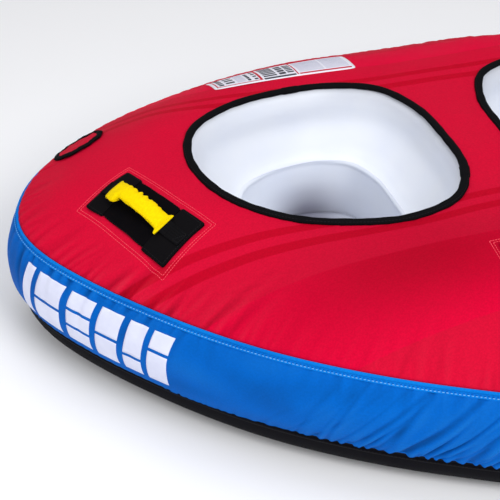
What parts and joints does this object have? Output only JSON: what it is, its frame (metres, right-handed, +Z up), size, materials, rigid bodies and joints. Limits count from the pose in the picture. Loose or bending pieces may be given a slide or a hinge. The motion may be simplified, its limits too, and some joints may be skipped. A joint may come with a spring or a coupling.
{
  "type": "towable tube",
  "caption": "Low triangular inflatable towable with two cockpit wells, a sewn fabric cover, padded grab handles and a bow tow point.",
  "frame": {"origin": "on the floor under the middle of the object's bounding box", "axes": "+X towards starboard, across the tube; +Y towards the stern; +Z up"},
  "size_m": [1.8094, 1.2646, 0.37],
  "materials": {
    "red_nylon": "woven nylon cover with printed bands",
    "blue_nylon": "woven nylon",
    "black_nylon": "coarse woven nylon",
    "white_pvc": "PVC-coated fabric, satin",
    "yellow_sleeve": "woven nylon sleeve over foam",
    "neoprene": "neoprene, matt",
    "webbing": "polyester webbing",
    "black_plastic": "moulded nylon",
    "white_plastic": "moulded PVC",
    "steel": "stainless",
    "brass": "plated",
    "label_white": "printed vinyl"
  },
  "bodies": {
    "tube": {"chamber_upper_port": "white_pvc", "chamber_upper_starboard": "white_pvc", "chamber_upper_bow": "white_pvc", "chamber_upper_stern": "white_pvc", "chamber_upper_centre": "white_pvc", "chamber_lower_port": "white_pvc", "chamber_lower_starboard": "white_pvc", "chamber_lower_bow": "white_pvc", "chamber_lower_stern": "white_pvc", "chamber_lower_centre": "white_pvc", "seat_floor_left": "white_pvc", "seat_floor_right": "white_pvc", "cover_top_panel": "red_nylon", "cover_side_band": "blue_nylon", "cover_bottom_panel": "black_nylon", "upper_seam_binding": "blue_nylon", "lower_seam_binding": "black_nylon", "cockpit_piping_left": "black_nylon", "cockpit_piping_right": "black_nylon", "drain_grommet_left": "brass", "drain_grommet_right": "brass", "valve_body": "white_plastic", "valve_port_binding": "black_nylon", "instruction_label": "label_white", "zipper_tape_upper": "webbing", "zipper_tape_lower": "webbing", "zipper_coil": "black_plastic", "tow_patch": "black_plastic", "tow_anchor": "black_plastic", "tow_pin": "steel", "handle_outer_left_patch": "black_nylon", "handle_outer_left_knuckle_pad": "neoprene", "handle_outer_left_strap_end_rear": "webbing", "handle_outer_left_strap_end_front": "webbing", "handle_outer_right_patch": "black_nylon", "handle_outer_right_knuckle_pad": "neoprene", "handle_outer_right_strap_end_rear": "webbing", "handle_outer_right_strap_end_front": "webbing", "handle_inner_left_patch": "black_nylon", "handle_inner_left_knuckle_pad": "neoprene", "handle_inner_left_strap_end_rear": "webbing", "handle_inner_left_strap_end_front": "webbing", "handle_inner_right_patch": "black_nylon", "handle_inner_right_knuckle_pad": "neoprene", "handle_inner_right_strap_end_rear": "webbing", "handle_inner_right_strap_end_front": "webbing"},
    "valve_cap": {"valve_cap": "white_plastic"},
    "valve_flap": {"valve_flap": "red_nylon", "valve_flap_binding": "black_nylon"},
    "tow_connector": {"tow_connector": "black_plastic"},
    "zipper_slider": {"zipper_slider": "steel"},
    "zipper_pull": {"zipper_pull": "black_plastic"},
    "handle_outer_left": {"handle_outer_left_strap": "webbing", "handle_outer_left_grip": "yellow_sleeve"},
    "handle_outer_right": {"handle_outer_right_strap": "webbing", "handle_outer_right_grip": "yellow_sleeve"},
    "handle_inner_left": {"handle_inner_left_strap": "webbing", "handle_inner_left_grip": "yellow_sleeve"},
    "handle_inner_right": {"handle_inner_right_strap": "webbing", "handle_inner_right_grip": "yellow_sleeve"}
  },
  "joints": [
    {"name": "handle_outer_left_lean", "type": "hinge", "parent": "tube", "child": "handle_outer_left", "pos_m": [-0.66485, 0.00579, 0.33132], "axis": [-0.4707, 0.8804, 0.0579], "range_deg": [-10, 10], "stiffness_Nm_per_rad": 0.15},
    {"name": "handle_outer_right_lean", "type": "hinge", "parent": "tube", "child": "handle_outer_right", "pos_m": [0.66485, 0.00579, 0.33132], "axis": [0.4707, 0.8804, 0.0579], "range_deg": [-10, 10], "stiffness_Nm_per_rad": 0.15},
    {"name": "handle_inner_left_lean", "type": "hinge", "parent": "tube", "child": "handle_inner_left", "pos_m": [-0.0606, -0.38018, 0.33821], "axis": [-0.011, 0.9802, 0.1976], "range_deg": [-10, 10], "stiffness_Nm_per_rad": 0.15},
    {"name": "handle_inner_right_lean", "type": "hinge", "parent": "tube", "child": "handle_inner_right", "pos_m": [0.0606, -0.38018, 0.33821], "axis": [0.011, 0.9802, 0.1976], "range_deg": [-10, 10], "stiffness_Nm_per_rad": 0.15},
    {"name": "valve_cap_turn", "type": "hinge", "parent": "tube", "child": "valve_cap", "pos_m": [-0.71853, 0.32113, 0.26716], "axis": [-0.3644, 0.391, 0.8451], "range_deg": [0, 300]},
    {"name": "valve_flap_open", "type": "hinge", "parent": "tube", "child": "valve_flap", "pos_m": [-0.70489, 0.30022, 0.30567], "axis": [0.787, 0.6145, 0.055], "range_deg": [0, 150]},
    {"name": "tow_connector_swing", "type": "hinge", "parent": "tube", "child": "tow_connector", "pos_m": [0, -0.6213, 0.152], "axis": [-1, 0, 0], "range_deg": [0, 130]},
    {"name": "zipper_slider_travel", "type": "slide", "parent": "tube", "child": "zipper_slider", "axis": [-1, 0, 0], "range_m": [0, 0.3]},
    {"name": "zipper_pull_flip", "type": "hinge", "parent": "zipper_slider", "child": "zipper_pull", "pos_m": [0.15, 0.6314, 0.1623], "axis": [1, 0, 0], "range_deg": [0, 150]}
  ]
}
